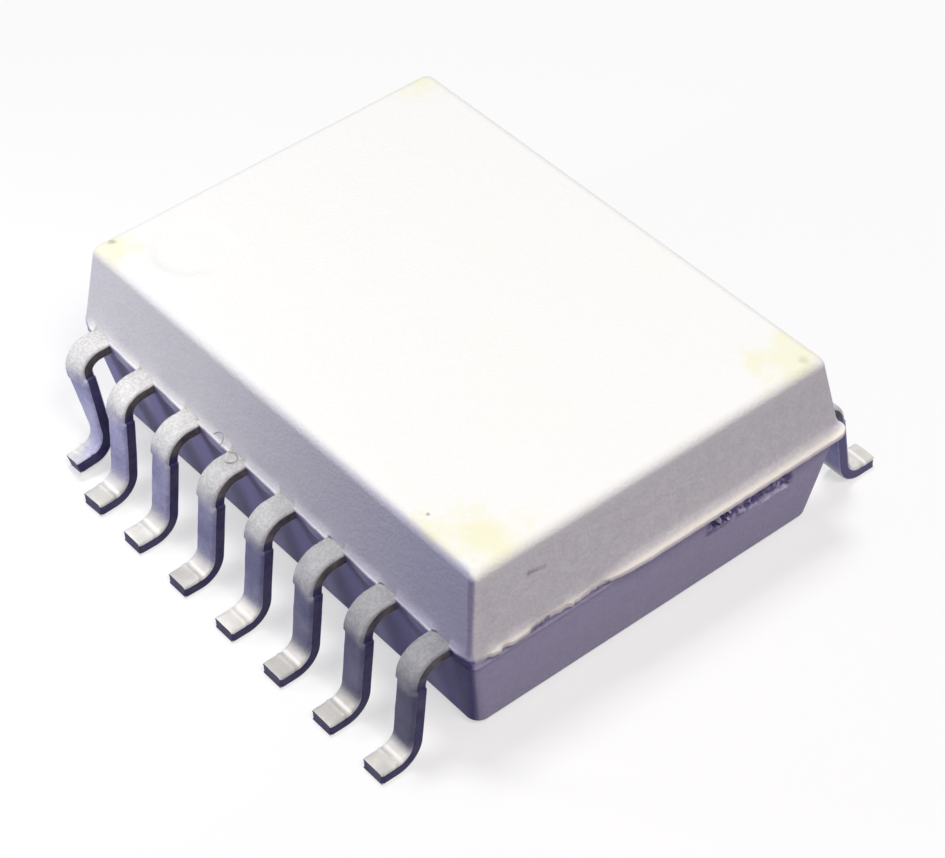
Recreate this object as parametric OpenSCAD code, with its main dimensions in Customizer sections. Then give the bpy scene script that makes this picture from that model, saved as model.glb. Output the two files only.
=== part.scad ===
// Sixteen-lead wide-body optocoupler in a thick small-outline package.
// Four channels side by side: in each, a light-emitting die on one lead frame faces a
// light-sensing die on the other, under a clear dome inside the white moulding.
// Frame: +X along the rows of leads, +Y across the body, +Z up, origin on the seating
// plane midway between the two rows of toes. The body sits a little off that middle.

/* [Body] */
// Length of both halves at the seam, along the rows of leads
body_l = 10.2; // [9.8:0.01:10.4]
// Width of both halves at the seam, across the rows
body_w = 7.55; // [7.1:0.01:7.6]
// Height of the top face above the seating plane
body_top = 3.54; // [3.3:0.01:3.8]
// Gap between the underside and the seating plane
standoff = 0.05; // [0.02:0.01:0.3]
// Draft of the upper half's two long sides, in degrees
side_draft = 10; // [2:0.5:12]
// Draft of the upper half's two ends, in degrees
end_draft = 7; // [1:0.5:10]
// Draft of the lower half's two long sides, in degrees
lower_side_draft = 8.5; // [3:0.5:12]
// Draft of the lower half's two ends, in degrees
lower_end_draft = 10; // [5:0.5:12]
// Radius of the upright corners
corner_r = 0.28; // [0.2:0.01:0.5]
// Rounding of the edges round the top face and the underside
edge_r = 0.1; // [0.05:0.01:0.18]
// Width of the lip of resin round the seam, which is as thick as the lead frame
lip_w = 0.14; // [0.08:0.01:0.2]

/* [Moulding marks] */
// Radius of the round mark that shows where lead 1 is
mark_r = 0.65; // [0.4:0.05:0.8]
// Depth of the round mark
mark_depth = 0.04; // [0.02:0.01:0.1]
// Distance of the mark's centre from the end face at the seam
mark_from_end = 1.36; // [1:0.01:1.6]
// Distance of the mark's centre from the long side at the seam
mark_from_side = 1.48; // [1.2:0.01:1.8]
// Length of the torn gate scar on the far end of the lower half
gate_l = 1.8; // [1:0.1:2.4]
// Height of the gate scar
gate_h = 0.36; // [0.2:0.02:0.5]
// Distance of the gate scar's centre from the body's centre line
gate_y = 1.85; // [0:0.05:2]
// Depth to which the gate tore out of the body
gate_depth = 0.07; // [0.04:0.01:0.1]

/* [Leads] */
// Number of leads in each of the two rows
row_count = 8; // [8:1:8]
// Distance between neighbouring leads
pitch = 1.27; // [1.24:0.01:1.3]
// Width of a lead from the trimmed tie bar to the toe
lead_w = 0.464; // [0.35:0.01:0.5]
// Thickness of the lead frame
lead_t = 0.24; // [0.18:0.01:0.28]
// Height of the lead frame's underside; its outer face is level with the seam
frame_z = 1.78; // [1.7:0.01:1.9]
// Width of a lead between the body and the trimmed tie bar
root_w = 0.48; // [0.4:0.01:0.52]
// Shift of that width along the row, where the trimming punch ran off centre
root_shift = -0.04; // [-0.06:0.01:0]
// Straight length of a lead outside a body that sits midway between the rows
shoulder_l = 0.13; // [0.1:0.005:0.4]
// How far the body sits off that middle, towards leads 9 to 16
body_shift = 0.095; // [0:0.005:0.1]
// Outer radius of the upper bend
bend_r = 0.52; // [0.4:0.01:0.6]
// Slope of a leg away from the upright, in degrees
leg_slope = 8; // [4:1:12]
// Inner radius of the lower bend
heel_r = 0.27; // [0.15:0.01:0.3]
// Flat length of a foot beyond the lower bend
foot_l = 0.31; // [0.25:0.01:0.5]
// Length of leg below the upper bend that is still as wide as the root
root_leg = 0.06; // [0.02:0.01:0.2]

/* [Bent leads] */
// Sideways lean of lead 1's leg, in degrees
lead_1_lean = 21; // [0:1:22]
// Twist of lead 1's leg about its own length, in degrees
lead_1_twist = 15; // [0:1:18]
// How much further than the others lead 1 was pushed in under the body, in degrees
lead_1_push = 6; // [0:1:7]
// How much shorter the leg of lead 1 stands, so that its twisted foot clears the floor
lead_1_lift = 0.1; // [0.1:0.01:0.2]
// How much tighter the upper bend of lead 1 was pressed
lead_1_tighter = 0.06; // [0:0.01:0.1]
// Sideways lean of lead 2's leg, in degrees
lead_2_lean = 7; // [0:1:8]
// How far lead 2's leg straightens again on its way down, in degrees
lead_2_sway = 5; // [0:1:6]
// How much shorter the leg of lead 2 stands
lead_2_lift = 0.01; // [0.01:0.01:0.05]

/* [Lead frame inside] */
// Gap between the two lead frames, which keeps the circuits apart
frame_gap = 0.6; // [0.4:0.05:0.8]
// Width of a die pad along the row
pad_w = 1.8; // [1.7:0.05:2]
// Length of a die pad across the row
pad_l = 1.05; // [0.9:0.05:1.2]
// Gap between a die pad and the bond finger beside it
finger_gap = 0.35; // [0.25:0.05:0.5]
// Width of a bond finger's tip
finger_w = 0.7; // [0.6:0.05:0.8]
// Length of a bond finger's tip
finger_l = 0.5; // [0.4:0.05:0.6]

/* [Dies, wires and domes] */
// Width of an emitter die
emitter_w = 0.3; // [0.24:0.02:0.36]
// Height of an emitter die
emitter_h = 0.2; // [0.15:0.01:0.25]
// Width of a detector die
detector_w = 0.46; // [0.36:0.02:0.52]
// Height of a detector die
detector_h = 0.25; // [0.15:0.01:0.28]
// Distance from the edge of its pad to each die
die_inset = 0.08; // [0.05:0.01:0.12]
// Thickness of the layer that sticks a die to its pad
attach_t = 0.02; // [0.02:0.01:0.04]
// Diameter of a bond wire
wire_d = 0.03; // [0.03:0.01:0.05]
// Height of a bond wire's loop above a straight run
wire_loop = 0.34; // [0.25:0.01:0.4]
// Radius of a dome's base
dome_r = 1.08; // [0.95:0.01:1.15]
// Height of a dome
dome_h = 0.72; // [0.6:0.01:0.85]

/* [Hidden] */
$fn = 32;
channels = row_count / 2;
channel_pitch = 2 * pitch;
frame_top = frame_z + lead_t;
seam_z = frame_top;
join = 0.1;
skin = 0.01;
turn_1 = 90 - leg_slope;
bend_steps = 10;
leg_steps = 6;
root_end = bend_steps + 2;
lip_l = 0.02;
bend_drop = bend_r * (1 - cos(turn_1));
heel_drop = heel_r * (1 - cos(turn_1));
leg_l = (frame_top - bend_drop - heel_drop - lead_t) / sin(turn_1);
top_inset_l = (body_top - seam_z) * tan(end_draft);
top_inset_w = (body_top - seam_z) * tan(side_draft);
under_inset_l = (seam_z - standoff) * tan(lower_end_draft);
under_inset_w = (seam_z - standoff) * tan(lower_side_draft);
emitter_y = -frame_gap / 2 - die_inset - emitter_w / 2;
detector_y = frame_gap / 2 + die_inset + detector_w / 2;
finger_y = frame_gap / 2 + pad_l + finger_gap + finger_l / 2;
dome_y = (emitter_y + detector_y) / 2;
white = [0.93, 0.92, 0.88];
tinned = [0.72, 0.72, 0.75];

// Middle of a channel along the row
function channel_x(c) = (c - (channels + 1) / 2) * channel_pitch;
// A lead's place along its row: 1 to 8 run one way, 9 to 16 come back on the far side
function is_near(k) = k <= row_count;
function slot_of(k) = is_near(k) ? k : 2 * row_count + 1 - k;
function lead_x(k) = (slot_of(k) - (row_count + 1) / 2) * pitch;
// On the near side the second lead of a channel carries the die, on the far side the first
function has_pad(k) = is_near(k) ? slot_of(k) % 2 == 0 : slot_of(k) % 2 == 1;

// The strip of a lead is followed as a list of stations on its outer face. A station is
// [point, heading, outward normal, sideways direction], and a move changes it.
function turned(v, k, a) = v * cos(a) + cross(k, v) * sin(a) + k * (k * v) * (1 - cos(a));
function go(s, d) = [s[0] + s[1] * d, s[1], s[2], s[3]];
function bend(s, r, a) =
    let (c = s[0] - s[2] * r)
    [c + turned(s[0] - c, s[3], a), turned(s[1], s[3], a), turned(s[2], s[3], a), s[3]];
function lean(s, a) = [s[0], turned(s[1], s[2], a), s[2], turned(s[3], s[2], a)];
function twist(s, a) = [s[0], s[1], turned(s[2], s[1], a), turned(s[3], s[1], a)];
// A move is [advance, bend radius, bend angle, lean, twist]
function moved(s, m) = twist(lean(bend(go(s, m[0]), m[1], m[2]), m[3]), m[4]);
function stations(s, moves, i = 0) =
    i == len(moves) ? [s] : concat([s], stations(moved(s, moves[i]), moves, i + 1));

// Moves of one lead: shoulder, upper bend, leg, lower bend and foot
function lead_moves(shoulder, r, turn, side_lean, leg, sway, spin, heel_turn, foot) = concat(
    [[shoulder + join, 1, 0, 0, 0]],
    [for (i = [1 : bend_steps])
        [0, r, turn / bend_steps, i > bend_steps / 2 ? 2 * side_lean / bend_steps : 0, 0]],
    [[root_leg, 1, 0, 0, 0], [lip_l, 1, 0, 0, 0]],
    [for (i = [1 : leg_steps])
        [(leg - root_leg - lip_l) / leg_steps, 1, 0, -sway / leg_steps, spin / leg_steps]],
    [for (i = [1 : bend_steps]) [0, -heel_r, -heel_turn / bend_steps, 0, 0]],
    [[foot, 1, 0, 0, 0]]
);

// Start of every lead on the near row, just inside the body's side
function lead_start(x) = [[x, -body_w / 2 + join, frame_top], [0, -1, 0], [0, 0, 1], [1, 0, 0]];

// The part of a straight lead between two stations, cut from its side view
module straight_strip(path, first, last, shift, w) {
    outer = [for (i = [first : last]) [path[i][0][1], path[i][0][2]]];
    inner = [for (i = [last : -1 : first])
        [path[i][0][1] - path[i][2][1] * lead_t, path[i][0][2] - path[i][2][2] * lead_t]];
    translate([path[0][0][0] + shift - w / 2, 0, 0])
        rotate([90, 0, 90])
            linear_extrude(w)
                polygon(concat(outer, inner));
}

// A bent lead, swept along all its stations. It widens on the lip under the root.
module bent_strip(path) {
    rings = [for (i = [0 : len(path) - 1])
        let (s = path[i])
        let (shift = i <= root_end ? root_shift : 0)
        let (w = i <= root_end ? root_w : lead_w)
        let (left = s[0] + s[3] * (shift - w / 2))
        let (right = s[0] + s[3] * (shift + w / 2))
        [left, right, right - s[2] * lead_t, left - s[2] * lead_t]];
    last_ring = len(rings) - 1;
    sides = [for (i = [0 : last_ring - 1]) for (j = [0 : 3])
        [4 * i + j, 4 * i + (j + 1) % 4, 4 * i + 4 + (j + 1) % 4, 4 * i + 4 + j]];
    ends = [[3, 2, 1, 0], [for (j = [0 : 3]) 4 * last_ring + j]];
    polyhedron(points = [for (ring = rings) for (p = ring) p], faces = concat(sides, ends), convexity = 4);
}

// A formed lead outside the body: a root as wide as the trimmed tie bar left it, then the
// true width down to the toe
module formed_lead(path, bent) {
    if (bent) {
        bent_strip(path);
    } else {
        straight_strip(path, 0, root_end + 1, root_shift, root_w);
        straight_strip(path, root_end, len(path) - 1, 0, lead_w);
    }
}

// Flat end of a lead inside the body: a bond finger, or a pad that carries a die
module inner_end(k) {
    x = lead_x(k);
    mid = channel_x(ceil(slot_of(k) / 2));
    edge = -body_w / 2 + lip_l;
    tip = has_pad(k) ? -frame_gap / 2 - pad_l : -finger_y - finger_l / 2;
    stem = tip - edge;
    translate([0, 0, frame_z])
        linear_extrude(lead_t) {
            translate([x + root_shift - root_w / 2, edge]) square([root_w, stem + join]);
            if (has_pad(k))
                translate([mid - pad_w / 2, tip]) square([pad_w, pad_l]);
            else
                translate([x - finger_w / 2, tip]) square([finger_w, finger_l]);
        }
}

module lead(k) {
    x = lead_x(k);
    shoulder = is_near(k) ? shoulder_l + body_shift : shoulder_l - body_shift;
    plain = lead_moves(shoulder, bend_r, turn_1, 0, leg_l, 0, 0, turn_1, foot_l);
    first = lead_moves(shoulder, bend_r - lead_1_tighter, turn_1 + lead_1_push, lead_1_lean,
        leg_l - lead_1_lift, 0, lead_1_twist, turn_1, foot_l);
    second = lead_moves(shoulder, bend_r, turn_1, lead_2_lean,
        leg_l - lead_2_lift, lead_2_sway, 0, turn_1, foot_l);
    moves = k == 1 ? first : k == 2 ? second : plain;
    color(tinned)
        mirror([0, is_near(k) ? 0 : 1, 0])
            union() {
                formed_lead(stations(lead_start(x), moves), k <= 2);
                inner_end(k);
            }
}

// One level of the moulding: a rectangle with round corners, as a thin slab
module slab(l, w, z, t) {
    for (sx = [-1, 1]) for (sy = [-1, 1])
        translate([sx * (l / 2 - corner_r), sy * (w / 2 - corner_r), z])
            cylinder(r = corner_r, h = t);
}

// The same, with its edge rounded where the moulding ends
module soft_slab(l, w, z) {
    for (sx = [-1, 1]) for (sy = [-1, 1])
        translate([sx * (l / 2 - corner_r), sy * (w / 2 - corner_r), z])
            rotate_extrude()
                translate([corner_r - edge_r, 0])
                    intersection() {
                        circle(edge_r);
                        translate([0, -edge_r]) square(2 * edge_r);
                    }
}

module upper_half() {
    hull() {
        slab(body_l, body_w, seam_z, skin);
        soft_slab(body_l - 2 * top_inset_l, body_w - 2 * top_inset_w, body_top - edge_r);
    }
}

module lower_half() {
    hull() {
        slab(body_l, body_w, seam_z, skin);
        mirror([0, 0, 1])
            soft_slab(body_l - 2 * under_inset_l, body_w - 2 * under_inset_w, -standoff - edge_r);
    }
}

// Lip of resin round the seam, beside the leads but not over them
module seam_lip() {
    difference() {
        hull() slab(body_l + 2 * lip_w, body_w + 2 * lip_w, frame_z, lead_t);
        for (k = [1 : row_count]) for (side = [-1, 1])
            translate([lead_x(k) + root_shift, side * (body_w / 2 + lip_w), frame_z + lead_t / 2])
                cube([root_w, 2 * lip_w, 2 * lead_t], center = true);
    }
}

// Torn place under the lip where the resin was fed in, cut square to the drafted end
module gate_scar() {
    translate([body_l / 2, gate_y, seam_z])
        rotate([0, lower_end_draft, 0])
            translate([-gate_depth, -gate_l / 2, -gate_h - lead_t])
                cube([2 * gate_depth, gate_l, gate_h]);
}

module lead_one_mark() {
    translate([mark_from_end - body_l / 2, mark_from_side - body_w / 2, body_top - mark_depth])
        cylinder(r = mark_r, h = 2 * mark_depth, $fn = 64);
}

module moulded_body() {
    color(white)
        difference() {
            union() {
                upper_half();
                difference() {
                    lower_half();
                    gate_scar();
                }
                seam_lip();
            }
            lead_one_mark();
            for (k = [1 : 2 * row_count]) lead(k);
            for (c = [1 : channels]) {
                dome_shape(c);
                dies_and_wires(c);
            }
        }
}

// Square block of one die or its attach layer
module block(x, y, z, w, h) {
    translate([x - w / 2, y - w / 2, z]) cube([w, w, h]);
}

module emitter_attach(c) {
    color("dimgray") block(channel_x(c), emitter_y, frame_top, emitter_w, attach_t);
}

module emitter_die(c) {
    color("indianred") block(channel_x(c), emitter_y, frame_top + attach_t, emitter_w, emitter_h);
}

module detector_attach(c) {
    color("dimgray") block(channel_x(c), detector_y, frame_top, detector_w, attach_t);
}

module detector_die(c) {
    color("slategray") block(channel_x(c), detector_y, frame_top + attach_t, detector_w, detector_h);
}

// A bond wire leaves and lands upright, in an arch from the die's top to the finger
module bond_wire(from, to) {
    sides = 6;
    steps = 10;
    run = [to[0] - from[0], to[1] - from[1], 0];
    along = run / norm(run);
    across = cross([0, 0, 1], along);
    rings = [for (i = [0 : steps])
        let (a = 180 * i / steps)
        let (share = (1 - cos(a)) / 2)
        let (mid = from + (to - from) * share + [0, 0, wire_loop * sin(a)])
        let (tangent = along * norm(run) * sin(a) / 2
            + [0, 0, (to[2] - from[2]) * sin(a) / 2 + wire_loop * cos(a)])
        let (side = cross(across, tangent / norm(tangent)))
        [for (j = [0 : sides - 1])
            mid + wire_d / 2 * (across * cos(360 * j / sides) + side * sin(360 * j / sides))]];
    skin = [for (i = [0 : steps - 1]) for (j = [0 : sides - 1])
        [sides * i + j, sides * i + (j + 1) % sides,
         sides * (i + 1) + (j + 1) % sides, sides * (i + 1) + j]];
    ends = [[for (j = [sides - 1 : -1 : 0]) j], [for (j = [0 : sides - 1]) sides * steps + j]];
    polyhedron(points = [for (ring = rings) for (p = ring) p], faces = concat(skin, ends), convexity = 4);
}

module emitter_wire(c) {
    top = frame_top + attach_t + emitter_h;
    color("gold")
        bond_wire([channel_x(c), emitter_y, top], [channel_x(c) - pitch / 2, -finger_y, frame_top]);
}

module detector_wire(c) {
    top = frame_top + attach_t + detector_h;
    color("gold")
        bond_wire([channel_x(c), detector_y, top], [channel_x(c) + pitch / 2, finger_y, frame_top]);
}

module dies_and_wires(c) {
    emitter_attach(c);
    emitter_die(c);
    emitter_wire(c);
    detector_attach(c);
    detector_die(c);
    detector_wire(c);
}

// Clear dome that carries the light from one die to the other
module dome_shape(c) {
    ball_r = (dome_r * dome_r + dome_h * dome_h) / (2 * dome_h);
    translate([channel_x(c), dome_y, frame_top])
        intersection() {
            translate([0, 0, dome_h - ball_r]) sphere(r = ball_r, $fn = 64);
            cylinder(r = 2 * dome_r, h = 2 * dome_h);
        }
}

module light_dome(c) {
    color([0.8, 0.85, 0.8, 0.5])
        difference() {
            dome_shape(c);
            dies_and_wires(c);
        }
}

// Every piece is drawn about the body's own middle and then moved to its place
module placed() {
    translate([0, body_shift, 0]) children();
}

placed() moulded_body();
for (k = [1 : 2 * row_count])
    placed() lead(k);
for (c = [1 : channels]) {
    placed() emitter_attach(c);
    placed() emitter_die(c);
    placed() emitter_wire(c);
    placed() detector_attach(c);
    placed() detector_die(c);
    placed() detector_wire(c);
    placed() light_dome(c);
}
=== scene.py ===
import math

import bpy
import numpy as np
from mathutils import Matrix, Vector, noise


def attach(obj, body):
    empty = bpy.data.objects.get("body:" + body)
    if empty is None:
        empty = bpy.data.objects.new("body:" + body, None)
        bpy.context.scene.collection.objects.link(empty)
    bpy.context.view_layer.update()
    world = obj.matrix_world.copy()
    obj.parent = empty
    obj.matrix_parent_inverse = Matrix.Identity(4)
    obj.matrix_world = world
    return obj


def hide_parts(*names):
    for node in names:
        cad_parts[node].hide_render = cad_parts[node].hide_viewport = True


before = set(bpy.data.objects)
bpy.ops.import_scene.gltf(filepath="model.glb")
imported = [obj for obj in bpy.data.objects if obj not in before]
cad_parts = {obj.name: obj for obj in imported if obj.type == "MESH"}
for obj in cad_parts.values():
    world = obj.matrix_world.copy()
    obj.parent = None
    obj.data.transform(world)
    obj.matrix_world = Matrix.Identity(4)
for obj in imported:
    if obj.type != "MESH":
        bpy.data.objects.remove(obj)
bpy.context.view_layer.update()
MM = 0.001


# ---- Camera -----------------------------------------------------------------------------
# A long lens looks down on the chip's near row of leads and on one of its end faces.
# It stands about 48 mm away, as for a close-up, and leans a little to one side.
def add_object(name, data):
    """A new object in the scene."""
    thing = bpy.data.objects.new(name, data)
    bpy.context.scene.collection.objects.link(thing)
    return thing


camera_data = bpy.data.cameras.new("camera")
camera_data.lens = 113.87
camera_data.sensor_width = 36.0
camera_data.clip_start = 0.002
camera_data.clip_end = 2.0
camera = add_object("camera", camera_data)
camera_place = Vector((28.461, -21.284, 34.698)) * MM
camera_target = Vector((1.097, -0.390, 1.8)) * MM
camera_roll = Matrix.Rotation(math.radians(-2.81), 4, "Z")
camera_aim = (camera_target - camera_place).to_track_quat("-Z", "Y").to_matrix().to_4x4()
camera.matrix_world = Matrix.Translation(camera_place) @ camera_aim @ camera_roll
bpy.context.scene.camera = camera


# ---- Floor and light --------------------------------------------------------------------
# The chip stands on a plain table under a wide soft lamp, with a small cool lamp low beside
# its leads, a warm lamp high over the end by lead 8 and a dim violet sky all round. Table
# and sky show white, and the table keeps the chip's shadow.
floor_half = 300 * MM
paint_low, paint_high = (0.07, 0.06, 0.13, 1), (0.10, 0.09, 0.16, 1)
shadow_white, plain_white = (0.93, 0.93, 0.93, 1), (1, 1, 1, 1)
plain_strength, plain_share = 0.965, 0.6
sky_violet, sky_strength = (0.64, 0.61, 1.0, 1), 0.19
noon_white, cool_white, warm_white = (0.985, 1.0, 0.965), (0.93, 0.92, 1.0), (1.0, 0.925, 0.83)


def shader_tree(owner):
    """The emptied node tree of a material or of the sky."""
    owner.use_nodes = True
    tree = owner.node_tree
    tree.nodes.clear()
    return tree


def put(tree, kind, settings=None, **inputs):
    """One shader node, with its settings and its sockets filled by value or by link.

    A socket goes by its name, with _ for a space, or by its place as i0, i1 and so on.
    """
    node = tree.nodes.new(kind)
    for name, value in (settings or {}).items():
        setattr(node, name, value)
    for name, value in inputs.items():
        by_place = name[0] == "i" and name[1:].isdigit()
        socket = node.inputs[int(name[1:]) if by_place else name.replace("_", " ")]
        if isinstance(value, bpy.types.NodeSocket):
            tree.links.new(value, socket)
        else:
            socket.default_value = value
    return node


def maths(tree, operation, *values):
    """What one maths node gives for its values."""
    inputs = {f"i{n}": value for n, value in enumerate(values)}
    return put(tree, "ShaderNodeMath", {"operation": operation}, **inputs).outputs[0]


def blend(tree, share, under, over, way="MIX"):
    """One colour laid over another by a share from 0 to 1."""
    return put(tree, "ShaderNodeMixRGB", {"blend_type": way}, i0=share, i1=under, i2=over).outputs[0]


def mixed_shader(tree, share, first, second):
    """Two shaders, the second by a share from 0 to 1."""
    return put(tree, "ShaderNodeMixShader", i0=share, i1=first.outputs[0], i2=second.outputs[0])


def seen_plainly(tree):
    """1 for rays from the camera, from gloss and through glass, 0 for light that falls."""
    path = put(tree, "ShaderNodeLightPath")
    straight = maths(tree, "MAXIMUM", path.outputs["Is Camera Ray"], path.outputs["Is Glossy Ray"])
    return maths(tree, "MAXIMUM", straight, path.outputs["Is Transmission Ray"])


def table_paint_material():
    """Dark to the light that falls on it, white with a soft shadow to the eye."""
    material = bpy.data.materials.new("table_paint")
    tree = shader_tree(material)
    cloudy = put(tree, "ShaderNodeTexNoise", Scale=40.0, Detail=3.0)
    matt = put(tree, "ShaderNodeBsdfDiffuse",
               Color=blend(tree, cloudy.outputs["Fac"], paint_low, paint_high))
    shadowed = put(tree, "ShaderNodeBsdfDiffuse", Color=shadow_white)
    plain = put(tree, "ShaderNodeEmission", Color=plain_white, Strength=plain_strength)
    shown = mixed_shader(tree, plain_share, shadowed, plain)
    both = mixed_shader(tree, seen_plainly(tree), matt, shown)
    put(tree, "ShaderNodeOutputMaterial", Surface=both.outputs[0])
    return material


def lamp(name, place, size, energy, colour):
    """A square lamp at a place in mm that shines at the chip."""
    data = bpy.data.lights.new(name, "AREA")
    data.shape = "SQUARE"
    data.size = size * MM
    data.energy = energy
    data.color = colour
    holder = add_object(name, data)
    holder.location = Vector(place) * MM
    holder.rotation_euler = (-holder.location).to_track_quat("-Z", "Y").to_euler()


floor_mesh = bpy.data.meshes.new("floor")
floor_corners = [(x * floor_half, y * floor_half, 0) for x, y in ((-1, -1), (1, -1), (1, 1), (-1, 1))]
floor_mesh.from_pydata(floor_corners, [], [(0, 1, 2, 3)])
floor_mesh.materials.append(table_paint_material())
floor = add_object("floor", floor_mesh)

world = bpy.data.worlds.new("sky")
sky_tree = shader_tree(world)
soft_sky = put(sky_tree, "ShaderNodeBackground", Color=sky_violet, Strength=sky_strength)
white_sky = put(sky_tree, "ShaderNodeBackground", Color=plain_white, Strength=1.0)
whole_sky = mixed_shader(sky_tree, seen_plainly(sky_tree), soft_sky, white_sky)
put(sky_tree, "ShaderNodeOutputWorld", Surface=whole_sky.outputs[0])
bpy.context.scene.world = world

lamp("key_lamp", place=(-30, 14, 150), size=40, energy=0.124, colour=noon_white)
lamp("side_lamp", place=(-9, -13, 6.5), size=3, energy=0.00056, colour=cool_white)
lamp("warm_lamp", place=(62, -10, 100), size=36, energy=0.072, colour=warm_white)
bpy.context.scene.view_settings.view_transform = "Standard"


# ---- Moulded body -----------------------------------------------------------------------
# White filled epoxy, moulded in two halves round the lead frame. The halves taper away from
# the seam, where a thin lip of resin squeezed out. The gate was torn off one end, and the
# rounded edges run smoothly into the tapered walls.
body_middle_y = 0.095
seam_l, seam_w, seam_z = 10.2, 7.55, 2.02
top_l, top_w, top_z = 9.827, 7.014, 3.54
under_l, under_w, under_z = 9.505, 6.961, 0.05
upper_r, lip_r, under_r = 0.13, 0.16, 0.22
top_roll, under_roll = 0.2, 0.1
side_draft, end_draft = math.radians(10), math.radians(7)
lower_side_draft, lower_end_draft = math.radians(8.5), math.radians(10)
lip_t, flare_h = 0.24, 0.2
lead_pitch, row_count = 1.27, 8
root_left, root_right, root_step = -0.235, 0.155, 0.008
gate_y, gate_z, gate_l, gate_h = 1.87, 1.5, 1.86, 0.44
mark_x, mark_y, mark_r, mark_depth = -3.745, -2.3 + body_middle_y, 0.65, 0.025
side_step, end_step, corner_steps = 0.1, 0.07, 6
tiny = 1e-6
below_all, past_all = -1.0, 9.0


def soft_noise(x, y, z, size):
    """Smooth noise from about -1 to 1 whose lumps are size across."""
    return noise.noise(Vector((x, y, z)) / size)


def ramp(value, low, high):
    """0 below low, 1 above high, with a soft rise between."""
    t = min(max((value - low) / (high - low), 0.0), 1.0)
    return t * t * (3 - 2 * t)


def axis_steps(half, step, stops):
    """Places along one side: -1 to 1 on its straight stretch, and past 1 round a corner."""
    stops = [-half] + sorted(stops) + [half]
    straight = []
    for low, high in zip(stops, stops[1:]):
        count = max(1, math.ceil((high - low) / step))
        straight += [(low + (high - low) * i / count) / half for i in range(count)]
    corner = [1 + (i + 1) / corner_steps for i in range(corner_steps)]
    return [-t for t in reversed(corner)] + straight + [1.0] + corner


def outline_point(a, b, length, width, radius):
    """A place on a rectangle with round corners, from two places of axis_steps."""
    half = ((length / 2 - radius, a), (width / 2 - radius, b))
    flat = [h * max(-1, min(1, t)) for h, t in half]
    u, v = (max(0.0, abs(t) - 1) for _, t in half)
    bulge = (u * math.sqrt(1 - v * v / 2), v * math.sqrt(1 - u * u / 2))
    return tuple(f + math.copysign(radius * o, t) for f, o, t in zip(flat, bulge, (a, b)))


def far_end_lip(y):
    """Width of the lip along the end by leads 8 and 9, where it broke off in places."""
    lip_w, more_by_gate, deep_flake, long_flake = 0.07, 0.05, 0.07, 0.035
    width = lip_w + more_by_gate * ramp(y, -1.2, -0.4)
    width -= deep_flake * ramp(y, -2.62, -2.58) * (1 - ramp(y, -2.2, -1.95))
    width -= long_flake * ramp(y, -1.9, -1.8) * (1 - ramp(y, -1.25, -0.95))
    # It dies out towards the corner by lead 8, and is nibbled short in places
    width *= ramp(y, -3.7, -3.3)
    if y < -1.0 and soft_noise(y, 12, 0, 0.3) > 0.12:
        width *= 0.35
    ragged = 0.008 + 0.022 * (1 - ramp(y, -1.3, -0.7))
    return width + ragged * soft_noise(y, 3.1, 0, 0.13) + 0.6 * ragged * soft_noise(y, 7.7, 0, 0.05)


def near_end_lip(y):
    """Width of the lip along the end by leads 1 and 16, which is whole and narrow."""
    return 0.01 + 0.01 * soft_noise(y, 1.0, 0, 0.5)


def long_side_lip(x, side):
    """Width of the lip between two leads, left as a slant by the trimming punch."""
    tuck, lip_w, slant, wave, snug = 0.01, 0.05, 0.02, 0.010, 0.001
    beside = (x + lead_pitch / 2) % lead_pitch
    if beside > lead_pitch / 2:
        beside -= lead_pitch
    in_row = abs(x) + tiny < row_count / 2 * lead_pitch
    if in_row and root_left - snug < beside < root_right + snug:
        return -tuck
    width = lip_w + slant * ramp(beside % lead_pitch, 0.2, 0.9) + wave * soft_noise(x, side * 5, 2, 0.12)
    return width * (1 - ramp(abs(x), 4.75, 5.0))


def lip_push(x, y, share):
    """How far the lip stands out from the seam's outline, share of the way up its edge."""
    at_end = ramp(abs(x), seam_l / 2 - 0.25, seam_l / 2 - 0.05)
    thinnest, slope = 0.003, 0.025
    end_w = far_end_lip(y) if x > 0 else near_end_lip(y)
    end_w = max(thinnest, end_w) * ramp(share, 0.45, 0.62)
    side_w = long_side_lip(x, math.copysign(1, y)) - slope * (1 - share)
    return at_end * end_w + (1 - at_end) * side_w


def gate_roughness(x, y, z):
    """How far the surface is torn in or out where the gate broke away."""
    if x < seam_l / 2 - 0.6:
        return 0.0
    tear_depth, lump_height = 0.085, 0.15
    below = gate_z + gate_h / 2 - z - 0.04 * soft_noise(y, 0, 3, 0.2)
    deep = gate_h * (0.45 + 0.55 * ramp(y, gate_y - 0.9, gate_y + 0.5))
    inside = ramp(gate_l / 2 - abs(y - gate_y), 0.0, 0.10) * ramp(deep - below, 0.0, 0.06)
    tear = 0.7 + 0.9 * soft_noise(y, z, 4, 0.14) + 0.7 * soft_noise(y, z, 9, 0.06)
    lump = ramp(soft_noise(y, z, 21, 0.10), 0.10, 0.35) * ramp(gate_y - 0.3 - y, 0, 0.25)
    return inside * (lump_height * lump - tear_depth * tear)


def wall_unevenness(x, y, z):
    """Waves too shallow to see face on, which die out at the top edge."""
    wave = 0.0025
    return wave * soft_noise(x, y, z, 0.7) * ramp(top_z - z, 0.0, 0.6)


def rolled(size, draft, fall, radius):
    """A size of the outline some way from a face, whose edge rolls into a drafted wall."""
    rise = math.asin(max(0.0, 1 - fall / radius))
    if rise <= draft:
        return size + 2 * fall * math.tan(draft)
    return size + 2 * radius * (math.cos(rise) - (1 - math.sin(draft)) / math.cos(draft))


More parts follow.
